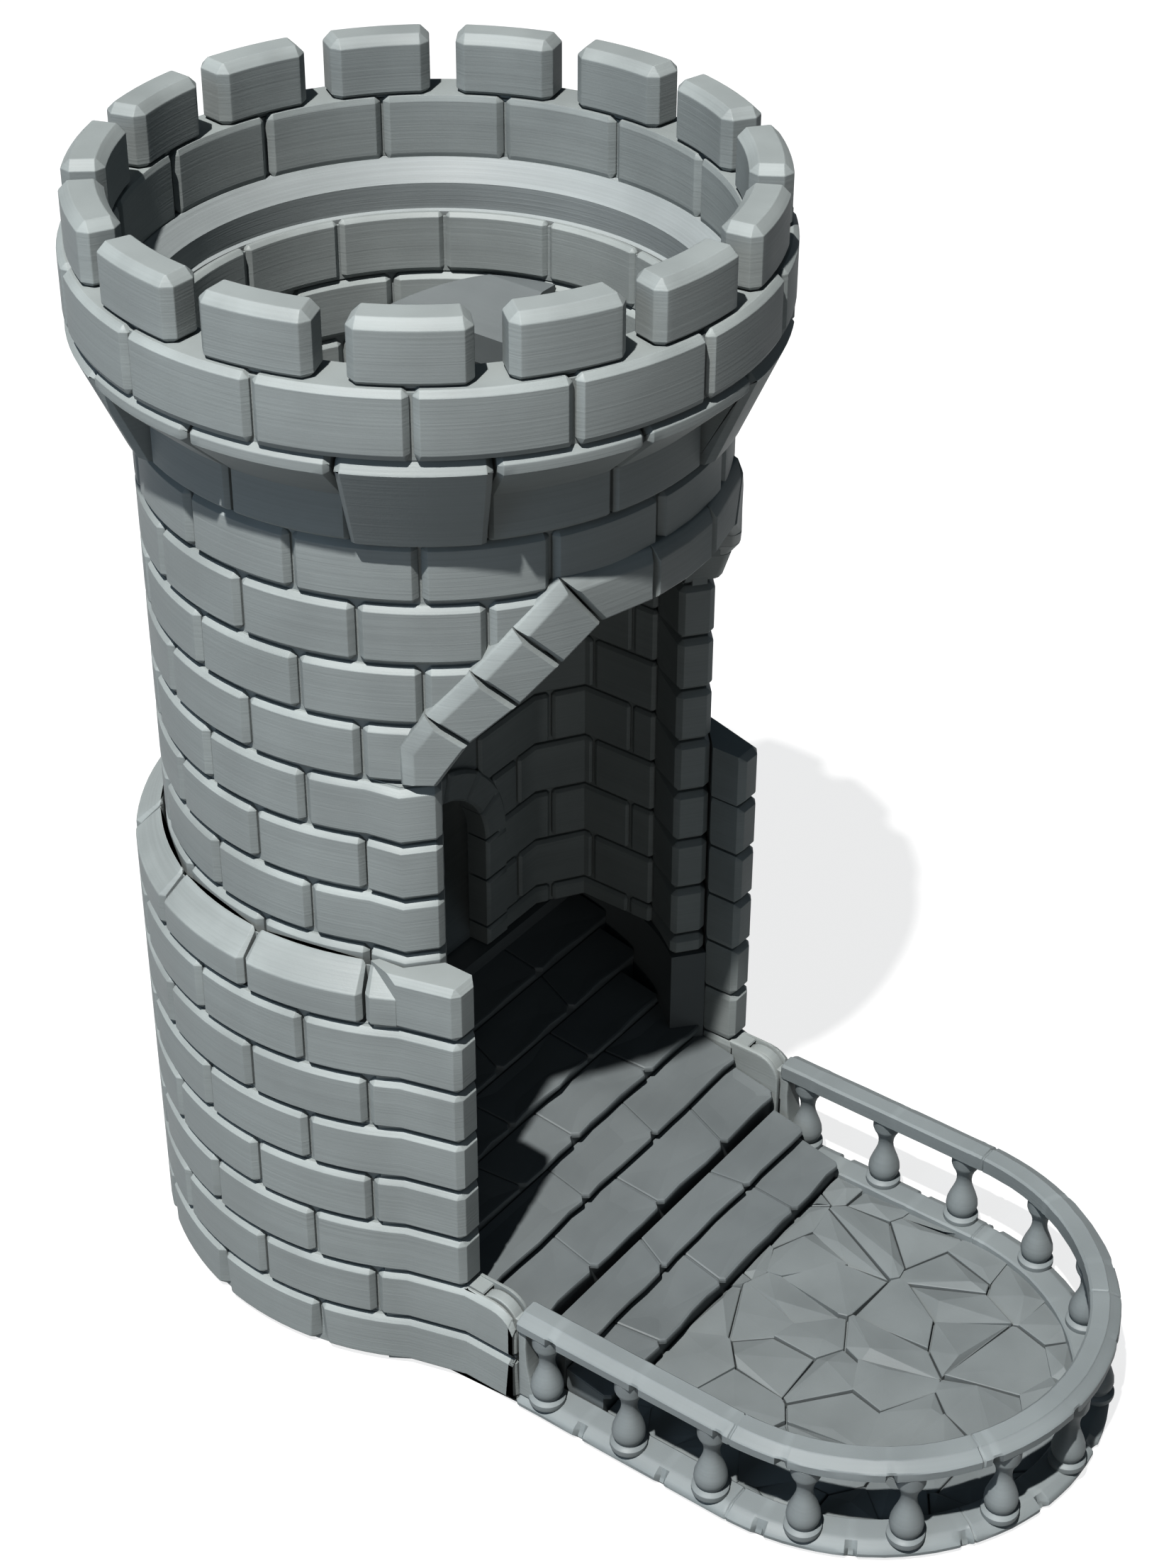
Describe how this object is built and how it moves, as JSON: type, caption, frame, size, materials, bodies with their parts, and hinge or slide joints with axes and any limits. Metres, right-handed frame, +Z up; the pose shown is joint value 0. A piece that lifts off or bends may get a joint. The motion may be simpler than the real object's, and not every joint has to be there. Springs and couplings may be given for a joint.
{
  "type": "dice tower",
  "caption": "Round castle-shaped dice tower in grey printed plastic: crenellated crown, brick tower with gabled porch, base with stairs and a hinged balustraded tray.",
  "frame": {"origin": "centre of the tower's axis on the resting plane under the base", "axes": "+Z up along the tower's axis, -Y out of the open front along the tray, +X to the right when looking from behind the tower over the tray's side"},
  "size_m": [0.105, 0.177, 0.1882],
  "materials": {
    "stone_grey_print": "satin FDM-printed PLA in neutral mid grey with fine horizontal layer lines and paler worn stone edges",
    "smooth_grey_print": "satin FDM-printed PLA, the same grey, on sloping and walking surfaces"
  },
  "bodies": {
    "base": {"bailey_wall": "stone_grey_print", "bailey_coping": "stone_grey_print", "ledge_ring": "smooth_grey_print", "base_stairs": "smooth_grey_print", "base_deck": "smooth_grey_print", "cheek_left": "stone_grey_print", "cheek_right": "stone_grey_print"},
    "tray": {"tray_floor": "smooth_grey_print", "tray_rim": "stone_grey_print", "tray_stairs": "smooth_grey_print", "tray_rail": "stone_grey_print", "balusters": "stone_grey_print", "hinge_arm_left": "stone_grey_print", "hinge_arm_right": "stone_grey_print", "hinge_pin_left": "stone_grey_print", "hinge_pin_right": "stone_grey_print"},
    "tower": {"tower_wall": "stone_grey_print", "tower_spigot": "stone_grey_print", "quoins_left": "stone_grey_print", "quoins_right": "stone_grey_print", "gable_left": "stone_grey_print", "gable_right": "stone_grey_print", "lintel": "stone_grey_print", "porch_wall_left": "smooth_grey_print", "porch_wall_right": "smooth_grey_print", "porch_back_wall": "smooth_grey_print", "door_arch": "stone_grey_print", "door_jambs": "stone_grey_print", "top_ramp": "smooth_grey_print", "hopper_ledge_left": "smooth_grey_print", "hopper_ledge_right": "smooth_grey_print", "lower_ramp": "smooth_grey_print"},
    "crown": {"crown_collar": "stone_grey_print", "keystones": "stone_grey_print", "crown_funnel": "smooth_grey_print", "parapet_ring": "stone_grey_print", "merlons": "stone_grey_print"}
  },
  "joints": [
    {"name": "tray_fold", "type": "hinge", "parent": "base", "child": "tray", "pos_m": [0, -0.0392, 0.0155], "axis": [-1, 0, 0], "range_deg": [0, 90]},
    {"name": "tower_lift", "type": "slide", "parent": "base", "child": "tower", "axis": [0, 0, 1], "range_m": [0, 0.05]},
    {"name": "crown_lift", "type": "slide", "parent": "tower", "child": "crown", "axis": [0, 0, 1], "range_m": [0, 0.02]}
  ]
}
